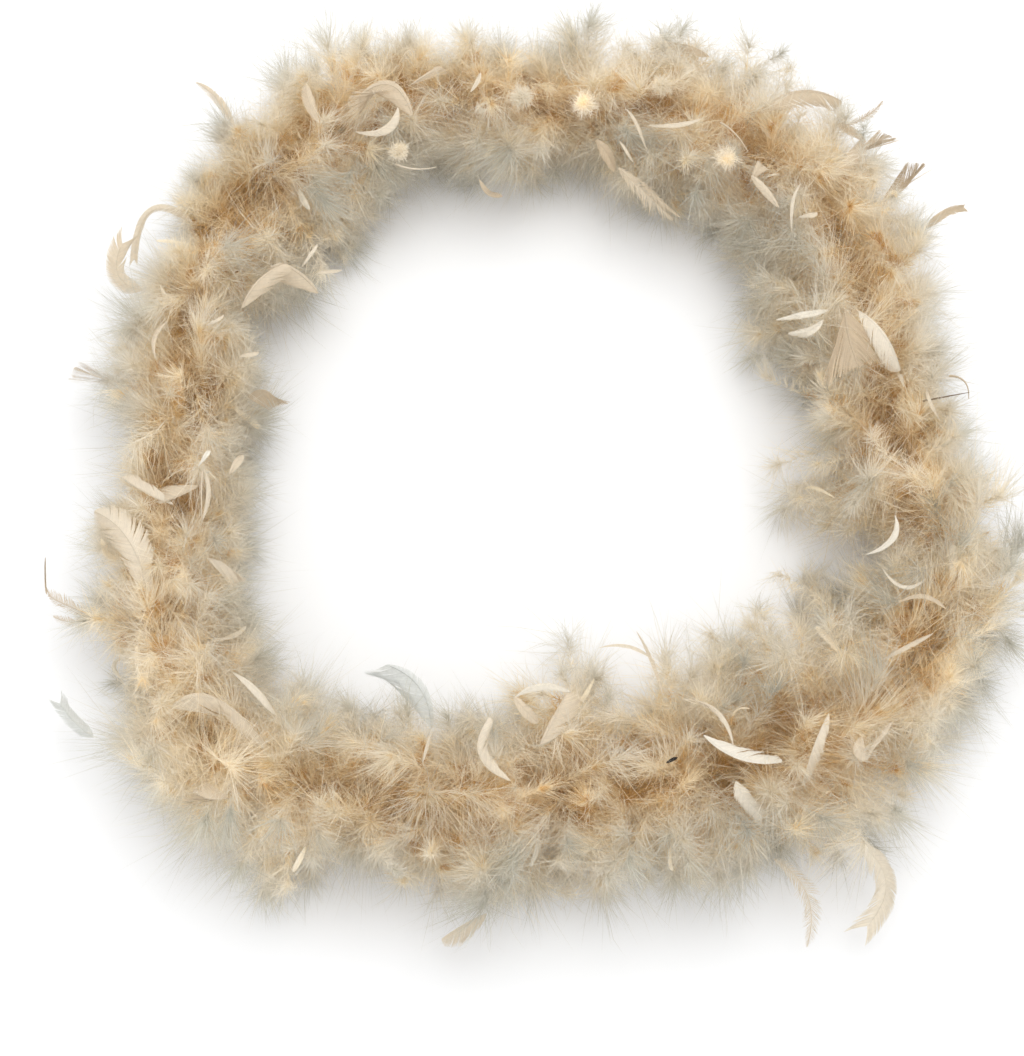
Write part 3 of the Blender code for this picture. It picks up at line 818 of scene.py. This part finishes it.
# Where each stands: along the boa, out from its middle, and its direction against the boa's (0 is
# along it, 90 is outwards). Then its length, its bow to the right, the heights of its base, middle
# and tip, its width, kind and tint (0 tan, 1 white, less than 0 nearly black). A puff is a ball as
# wide as its length.
FLATS = (
    (0.000, -0.057, 110, 0.035, 0.012, (0.114, 0.118, 0.112), 0.003, "sickle", 0.85),
    (0.011, -0.068, 45, 0.040, 0.008, (0.118, 0.124, 0.116), 0.005, "sickle", 0.95),
    (0.028, 0.019, 165, 0.026, 0.002, (0.086, 0.086, 0.076), 0.007, "leaf", 0.6),
    (0.134, 0.018, 90, 0.044, 0.002, (0.092, 0.092, 0.078), 0.0016, "quill", -0.16),
    (0.144, 0.024, 175, 0.031, 0.004, (0.096, 0.104, 0.096), 0.003, "sickle", 0.8),
    (0.155, 0.050, 150, 0.024, -0.005, (0.080, 0.082, 0.074), 0.002, "quill", 0.4),
    (0.207, -0.052, -100, 0.028, -0.006, (0.120, 0.122, 0.112), 0.007, "leaf", 0.9),
    (0.211, -0.021, 155, 0.057, -0.001, (0.118, 0.126, 0.112), 0.015, "right", 0.9),
    (0.211, -0.034, 180, 0.050, 0.003, (0.126, 0.133, 0.131), 0.062, "fan", 0.28),
    (0.215, -0.046, -90, 0.042, -0.002, (0.120, 0.124, 0.116), 0.006, "leaf", 0.95),
    (0.282, 0.068, 75, 0.042, -0.002, (0.070, 0.072, 0.062), 0.007, "ribbon", 0.3),
    (0.302, -0.052, 35, 0.043, -0.005, (0.112, 0.124, 0.118), 0.003, "sickle", 0.85),
    (0.305, 0.037, 65, 0.053, 0.008, (0.084, 0.086, 0.076), 0.018, "fan", 0.2),
    (0.315, -0.042, 105, 0.015, 0.002, (0.120, 0.124, 0.120), 0.004, "sickle", 0.75),
    (0.336, 0.002, 75, 0.063, 0.002, (0.106, 0.104, 0.084), 0.013, "right", 0.5),
    (0.340, -0.049, 0, 0.034, -0.001, (0.116, 0.122, 0.120), 0.007, "leaf", 0.63),
    (0.343, 0.051, 95, 0.036, 0.003, (0.080, 0.084, 0.070), 0.018, "fan", 0.35),
    (0.343, 0.058, -15, 0.027, 0.000, (0.090, 0.094, 0.092), 0.009, "leaf", 0.43),
    (0.362, 0.062, 95, 0.046, 0.004, (0.080, 0.076, 0.066), 0.007, "wisp", 0.1),
    (0.381, -0.048, 90, 0.018, 0.000, (0.116, 0.122, 0.116), 0.012, "blunt", 0.48),
    (0.399, -0.042, -15, 0.024, 0.000, (0.114, 0.120, 0.116), 0.015, "puff", 0.7),
    (0.414, 0.011, 130, 0.077, -0.009, (0.108, 0.106, 0.086), 0.017, "right", 0.45),
    (0.436, -0.018, -155, 0.035, -0.001, (0.118, 0.124, 0.122), 0.002, "quill", 0.48),
    (0.493, -0.081, -160, 0.043, 0.004, (0.096, 0.092, 0.076), 0.006, "wisp", 0.5),
    (0.500, -0.042, 160, 0.046, 0.007, (0.118, 0.128, 0.120), 0.004, "sickle", 0.78),
    (0.507, -0.003, -175, 0.022, 0.000, (0.112, 0.117, 0.112), 0.010, "puff", 0.65),
    (0.507, 0.053, -170, 0.047, 0.001, (0.084, 0.092, 0.090), 0.008, "leaf", 0.43),
    (0.526, -0.029, -120, 0.039, 0.000, (0.118, 0.126, 0.112), 0.003, "sickle", 0.68),
    (0.530, -0.056, -130, 0.019, 0.001, (0.112, 0.114, 0.104), 0.003, "sickle", 0.68),
    (0.530, -0.074, -145, 0.059, 0.004, (0.100, 0.098, 0.076), 0.016, "wisp", 0.55),
    (0.552, -0.053, -125, 0.027, 0.000, (0.108, 0.108, 0.096), 0.010, "leaf", 0.3),
    (0.564, -0.040, 100, 0.026, 0.000, (0.118, 0.122, 0.118), 0.020, "puff", 0.72),
    (0.582, 0.042, -105, 0.047, 0.004, (0.100, 0.110, 0.112), 0.002, "quill", 0.48),
    (0.612, -0.034, 95, 0.024, 0.000, (0.116, 0.120, 0.116), 0.014, "puff", 0.62),
    (0.640, -0.086, -160, 0.021, 0.006, (0.090, 0.084, 0.076), 0.007, "left", 0.48),
    (0.654, -0.023, 110, 0.019, 0.002, (0.122, 0.126, 0.122), 0.004, "leaf", 0.78),
    (0.709, -0.015, 155, 0.031, 0.001, (0.120, 0.124, 0.122), 0.014, "fan", 0.48),
    (0.709, -0.041, 25, 0.046, 0.015, (0.118, 0.130, 0.124), 0.028, "left", 0.5),
    (0.739, -0.075, -160, 0.034, 0.006, (0.104, 0.110, 0.104), 0.002, "quill", 0.78),
    (0.748, -0.067, -170, 0.020, 0.000, (0.106, 0.112, 0.106), 0.013, "puff", 0.68),
    (0.773, -0.045, 175, 0.040, 0.012, (0.124, 0.129, 0.126), 0.007, "sickle", 0.78),
    (0.798, -0.018, 105, 0.035, -0.002, (0.116, 0.121, 0.118), 0.010, "leaf", 0.53),
    (0.843, 0.043, 100, 0.064, 0.003, (0.080, 0.076, 0.060), 0.009, "leaf", 0.55),
    (0.922, 0.023, 45, 0.057, 0.028, (0.076, 0.066, 0.050), 0.007, "ribbon", 0.7),
    (0.932, -0.095, -125, 0.021, 0.002, (0.090, 0.092, 0.084), 0.003, "sickle", 0.75),
    (0.939, -0.086, -165, 0.022, 0.001, (0.106, 0.112, 0.110), 0.003, "sickle", 0.8),
    (0.953, -0.101, 100, 0.031, 0.003, (0.084, 0.098, 0.114), 0.018, "left", 0.6),
    (0.981, 0.046, 145, 0.046, -0.013, (0.066, 0.064, 0.066), 0.017, "ribbon", 0.65),
    (0.999, -0.047, -140, 0.048, -0.004, (0.104, 0.112, 0.114), 0.015, "right", 0.55),
    (1.025, -0.023, -125, 0.016, 0.002, (0.122, 0.126, 0.122), 0.003, "sickle", 0.75),
    (1.044, -0.048, -115, 0.016, 0.002, (0.104, 0.106, 0.098), 0.004, "sickle", 0.7),
    (1.051, 0.017, -170, 0.032, -0.006, (0.112, 0.114, 0.112), 0.004, "sickle", 0.6),
    (1.062, 0.039, 110, 0.065, -0.001, (0.070, 0.056, 0.044), 0.018, "fan", 0.6),
    (1.066, -0.053, -85, 0.025, -0.007, (0.074, 0.076, 0.064), 0.020, "fan", 0.4),
    (1.142, -0.029, -150, 0.014, 0.001, (0.124, 0.128, 0.126), 0.004, "blunt", 1),
    (1.142, -0.032, -5, 0.043, -0.006, (0.120, 0.124, 0.118), 0.004, "sickle", 0.75),
    (1.142, -0.051, -155, 0.019, 0.001, (0.108, 0.110, 0.104), 0.007, "leaf", 0.6),
    (1.145, -0.032, -5, 0.040, 0.000, (0.120, 0.123, 0.118), 0.002, "quill", 0.6),
    (1.156, -0.029, 60, 0.032, -0.001, (0.116, 0.120, 0.116), 0.014, "right", 0.55),
    (1.172, -0.011, 115, 0.047, -0.002, (0.116, 0.118, 0.112), 0.009, "right", 0.75),
    (1.214, -0.042, -55, 0.030, -0.004, (0.108, 0.112, 0.104), 0.012, "fan", 0.75),
    (1.226, 0.105, 170, 0.029, -0.008, (0.046, 0.048, 0.054), 0.008, "leaf", 0.4),
    (1.244, 0.005, 150, 0.084, 0.011, (0.108, 0.118, 0.100), 0.028, "leaf", 0.8),
    (1.244, 0.048, 95, 0.047, -0.006, (0.056, 0.048, 0.040), 0.008, "wisp", 0.35),
    (1.250, 0.049, 120, 0.070, -0.001, (0.060, 0.052, 0.044), 0.010, "wisp", 0.35),
    (1.314, 0.077, 160, 0.041, -0.002, (0.052, 0.048, 0.044), 0.013, "ribbon", 1.2),
    (1.333, 0.008, -65, 0.036, -0.004, (0.112, 0.120, 0.118), 0.024, "right", 0.7),
    (1.339, -0.045, -10, 0.046, -0.003, (0.116, 0.120, 0.110), 0.006, "sickle", 0.85),
    (1.352, -0.024, -5, 0.049, -0.002, (0.118, 0.116, 0.104), 0.012, "right", 0.65),
    (1.403, 0.030, 165, 0.028, -0.004, (0.104, 0.108, 0.100), 0.026, "fan", 0.6),
    (1.538, -0.028, -80, 0.024, 0.000, (0.116, 0.120, 0.116), 0.003, "sickle", 0.8),
    (1.541, -0.060, -130, 0.060, 0.010, (0.084, 0.092, 0.088), 0.034, "left", 1.2),
    (1.585, 0.079, 155, 0.039, 0.000, (0.062, 0.054, 0.042), 0.013, "left", 0.8),
    (1.608, -0.014, -100, 0.050, -0.015, (0.116, 0.122, 0.116), 0.011, "right", 0.8),
    (1.625, -0.076, 5, 0.043, -0.006, (0.112, 0.118, 0.112), 0.006, "sickle", 0.95),
    (1.625, -0.077, 60, 0.027, 0.001, (0.112, 0.116, 0.112), 0.009, "leaf", 0.6),
    (1.638, -0.037, -50, 0.044, 0.001, (0.114, 0.118, 0.112), 0.017, "right", 0.65),
    (1.692, -0.107, 25, 0.044, -0.007, (0.084, 0.090, 0.096), 0.003, "sickle", 0.8),
    (1.722, -0.117, 80, 0.059, -0.002, (0.080, 0.100, 0.110), 0.003, "sickle", 0.65),
    (1.726, -0.006, -20, 0.009, 0.000, (0.126, 0.128, 0.126), 0.0028, "leaf", -0.3),
    (1.749, -0.054, 55, 0.052, -0.010, (0.112, 0.122, 0.120), 0.004, "sickle", 0.8),
    (1.752, -0.053, 50, 0.035, -0.005, (0.112, 0.122, 0.120), 0.002, "quill", 0.6),
    (1.759, -0.023, 30, 0.061, 0.008, (0.118, 0.126, 0.120), 0.014, "left", 1),
    (1.776, 0.015, 60, 0.031, 0.003, (0.114, 0.114, 0.102), 0.012, "ribbon", 0.95),
    (1.797, 0.074, 80, 0.070, -0.014, (0.064, 0.052, 0.036), 0.015, "wisp", 0.7),
    (1.826, 0.075, 5, 0.027, 0.000, (0.096, 0.096, 0.088), 0.002, "quill", 0.6),
    (1.850, 0.082, 105, 0.061, -0.017, (0.070, 0.058, 0.044), 0.018, "ribbon", 0.85),
    (1.858, -0.014, 135, 0.056, 0.002, (0.124, 0.126, 0.110), 0.008, "left", 0.85),
    (1.869, 0.027, -25, 0.037, -0.001, (0.118, 0.120, 0.112), 0.004, "sickle", 0.6),
    (1.874, 0.012, 105, 0.016, 0.004, (0.118, 0.121, 0.118), 0.011, "leaf", 0.65),
    (1.924, -0.027, 15, 0.049, 0.000, (0.112, 0.118, 0.108), 0.004, "sickle", 0.65),
    (1.986, -0.038, 75, 0.039, -0.007, (0.112, 0.118, 0.110), 0.004, "sickle", 0.5),
)


def puff(rng, centre, radius):
    """A small ball of short pale down, from a feather whose tip stands up."""
    out = unit(rng.normal(0, 1, (PUFF_FIBRES, 3)))
    root = centre + out * radius * rng.uniform(0, 0.6, (PUFF_FIBRES, 1))
    aim = unit(out + rng.normal(0, 0.7, out.shape))
    size = radius * rng.uniform(0.35, 0.6, PUFF_FIBRES)
    mesh = fibres(rng, root, aim, rng.normal(0, 0.4, aim.shape), size, PUFF_HALF_WIDTH)
    return mesh, rng.normal(1.0, 0.05, len(mesh[0]))


def flat_feather(number, place, vane, down):
    """One of the feathers that can be told apart."""
    s, out, turn, length, bow, heights, width, kind, tint = place
    rng = np.random.default_rng(500 + number)
    ahead = heading(np.array(s))
    side = np.cross(ahead, UP)
    chord = ahead * math.cos(math.radians(turn)) + side * math.sin(math.radians(turn))
    right = np.cross(chord, UP)
    start = on_route(s) + side * out
    spots = [start, start + chord * length / 2 + right * bow, start + chord * length]
    spots = [np.array([x, y, z]) for (x, y, _), z in zip(spots, heights)]
    rolls = (rng.normal(0, 10), rng.normal(0, 16))
    if kind == "puff":
        (verts, quads, tris), shade = puff(rng, spots[1], length / 2)
        attributes = (("shade_depth", np.full(len(verts), PUFF_DEPTH)), ("shade", shade * (0.45 + tint)))
        material = down
    else:
        (verts, quads, tris), shade = vaned_feather(rng, *spots, width, kind, rolls)
        attributes = (("tint", np.full(len(verts), 0.2 + 0.65 * tint)), ("shade", shade))
        material = vane
    name = f"flat_feather_{number:02d}"
    obj = make_mesh(name, keep_inside(verts), quads, tris, material, attributes)
    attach(obj, "root")


vane = vane_material()
for number, place in enumerate(FLATS, 1):
    flat_feather(number, place, vane, down)

# ---------------------------------------------------------------- the cord and its ends
CORD_COLOUR = (0.52, 0.38, 0.22)
CORD_GRAIN = 1500.0
PLY_RADIUS = 0.00125
PLY_OFFSET = 0.0013  # from the cord's middle to a ply's
TWIST_PITCH = 0.013
ROPE_STEP = 0.002
KNOT_SCALE = 0.00122
KNOT_CORD = 0.0021  # the cord's radius where it is pulled tight in the knot
THREAD_COLOUR = (0.70, 0.60, 0.45)
THREAD_GRAIN = 3000.0
THREAD_RADIUS = 0.00042
WHIPPING_LENGTH = 0.011
WHIPPING_TURNS = 12
FRAY = 70  # loose fibres past each knot
FRAY_HALF_WIDTH = 0.0001


def cord_line(step):
    """The cord's own line, from knot to knot."""
    length = BOA_LENGTH - 2 * END_OVERHANG
    return on_route(np.linspace(END_OVERHANG, BOA_LENGTH - END_OVERHANG, int(length / step)))


def round_a_line(line, radius, turns):
    """A helix round the line, with the frame carried along it."""
    ahead = unit(np.gradient(line, axis=0))
    side = unit(np.cross(ahead, UP))
    over = np.cross(side, ahead)
    turn = turns[:, None]
    return line + radius * (side * np.cos(turn) + over * np.sin(turn))


def core_rope():
    """Two plies of cotton twisted together, which grip every quill."""
    line = cord_line(ROPE_STEP)
    turns = np.arange(len(line)) * ROPE_STEP * 2 * math.pi / TWIST_PITCH
    lines = [round_a_line(line, PLY_OFFSET, turns + start) for start in (0, math.pi)]
    plies = merged([tube(ply, PLY_RADIUS, 8) for ply in lines])
    obj = make_mesh("core_rope", *plies, yarn_material("cord_cotton", CORD_COLOUR, CORD_GRAIN))
    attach(obj, "root")
    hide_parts("core_cord")


def middle_of(node):
    """The middle of a CAD node's box."""
    low, high = (np.array(corner, float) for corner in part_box(node))
    return (low + high) / 2


def end_frame(s, sign):
    """The way out of the boa at one end, and two directions across it."""
    out = heading(np.array(s)) * sign
    side = unit(np.cross(out, UP))
    return out, side, np.cross(side, out)


def knot(letter, s, sign, material):
    """An overhand knot in the cord, with the plies frayed out past it."""
    node = f"end_knot_{letter}"
    out, side, over = end_frame(s, sign)
    centre = middle_of(node)
    t = np.linspace(0, 2 * math.pi, 97)
    a = np.sin(t) + 2 * np.sin(2 * t)
    b = np.cos(t) - 2 * np.cos(2 * t)
    c = -1.5 * np.sin(3 * t)
    line = centre + KNOT_SCALE * (a[:, None] * side + b[:, None] * over + c[:, None] * out)
    rng = np.random.default_rng(40 + ord(letter))
    aim = unit(out + rng.normal(0, 0.5, (FRAY, 3)))
    root = centre + out * 0.003 + rng.normal(0, 0.001, (FRAY, 3))
    curl = rng.normal(0, 0.25, (FRAY, 3))
    fray = fibres(rng, root, aim, curl, rng.uniform(0.006, 0.012, FRAY), FRAY_HALF_WIDTH)
    obj = make_mesh(f"overhand_knot_{letter}", *merged([tube(line, KNOT_CORD, 12), fray]), material)
    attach(obj, "root")
    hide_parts(node)


def whipping(letter, s, sign, material):
    """Thread wound tightly round the cord."""
    node = f"end_whipping_{letter}"
    out, side, over = end_frame(s, sign)
    centre = middle_of(node)
    t = np.linspace(0, 1, WHIPPING_TURNS * 20 + 1)
    turn = (t * WHIPPING_TURNS * 2 * math.pi)[:, None]
    along = ((t - 0.5) * (WHIPPING_LENGTH - 2 * THREAD_RADIUS))[:, None]
    radius = CORD_DIAMETER / 2 + THREAD_RADIUS
    line = centre + out * along + radius * (side * np.cos(turn) + over * np.sin(turn))
    obj = make_mesh(f"whipping_thread_{letter}", *tube(line, THREAD_RADIUS, 6), material)
    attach(obj, "root")
    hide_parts(node)


core_rope()
knot_yarn = yarn_material("knot_cotton", CORD_COLOUR, CORD_GRAIN)
thread = yarn_material("binding_thread", THREAD_COLOUR, THREAD_GRAIN)
for letter, s, sign in (("a", 0.0, -1), ("b", BOA_LENGTH, 1)):
    knot(letter, s, sign, knot_yarn)
    whipping(letter, s, sign, thread)

# ---------------------------------------------------------------- stage
FLOOR_HALF = 30.0
FLOOR_COLOUR = (0.86, 0.867, 0.877)
DAYLIGHT = 1.06  # the even light all round
KEY_SIZE = 1.8
KEY_ENERGY = 24
KEY_PLACE = (0.2, 0.75, 2.1)


def add_floor():
    """The plain pale floor."""
    corners = [(-FLOOR_HALF, -FLOOR_HALF, 0), (FLOOR_HALF, -FLOOR_HALF, 0)]
    corners += [(FLOOR_HALF, FLOOR_HALF, 0), (-FLOOR_HALF, FLOOR_HALF, 0)]
    mesh = bpy.data.meshes.new("floor")
    mesh.from_pydata(corners, [], [(0, 1, 2, 3)])
    floor = bpy.data.objects.new("floor", mesh)
    material, _, shader = new_material("floor")
    shader.inputs["Base Color"].default_value = (*FLOOR_COLOUR, 1)
    shader.inputs["Roughness"].default_value = 0.9
    shader.inputs["Specular IOR Level"].default_value = 0.1
    mesh.materials.append(material)
    bpy.context.scene.collection.objects.link(floor)


def add_light():
    """Plain soft studio light: even all round, and a little more from behind and above."""
    world = bpy.data.worlds.new("studio")
    world.use_nodes = True
    background = world.node_tree.nodes["Background"]
    background.inputs["Color"].default_value = (1, 1, 1, 1)
    background.inputs["Strength"].default_value = DAYLIGHT
    bpy.context.scene.world = world
    light = bpy.data.lights.new("key", "AREA")
    light.size = KEY_SIZE
    light.energy = KEY_ENERGY
    key = bpy.data.objects.new("key", light)
    key.location = KEY_PLACE
    key.rotation_euler = (-key.location).to_track_quat("-Z", "Y").to_euler()
    bpy.context.scene.collection.objects.link(key)


add_floor()
add_light()
bpy.context.scene.view_settings.view_transform = "Standard"
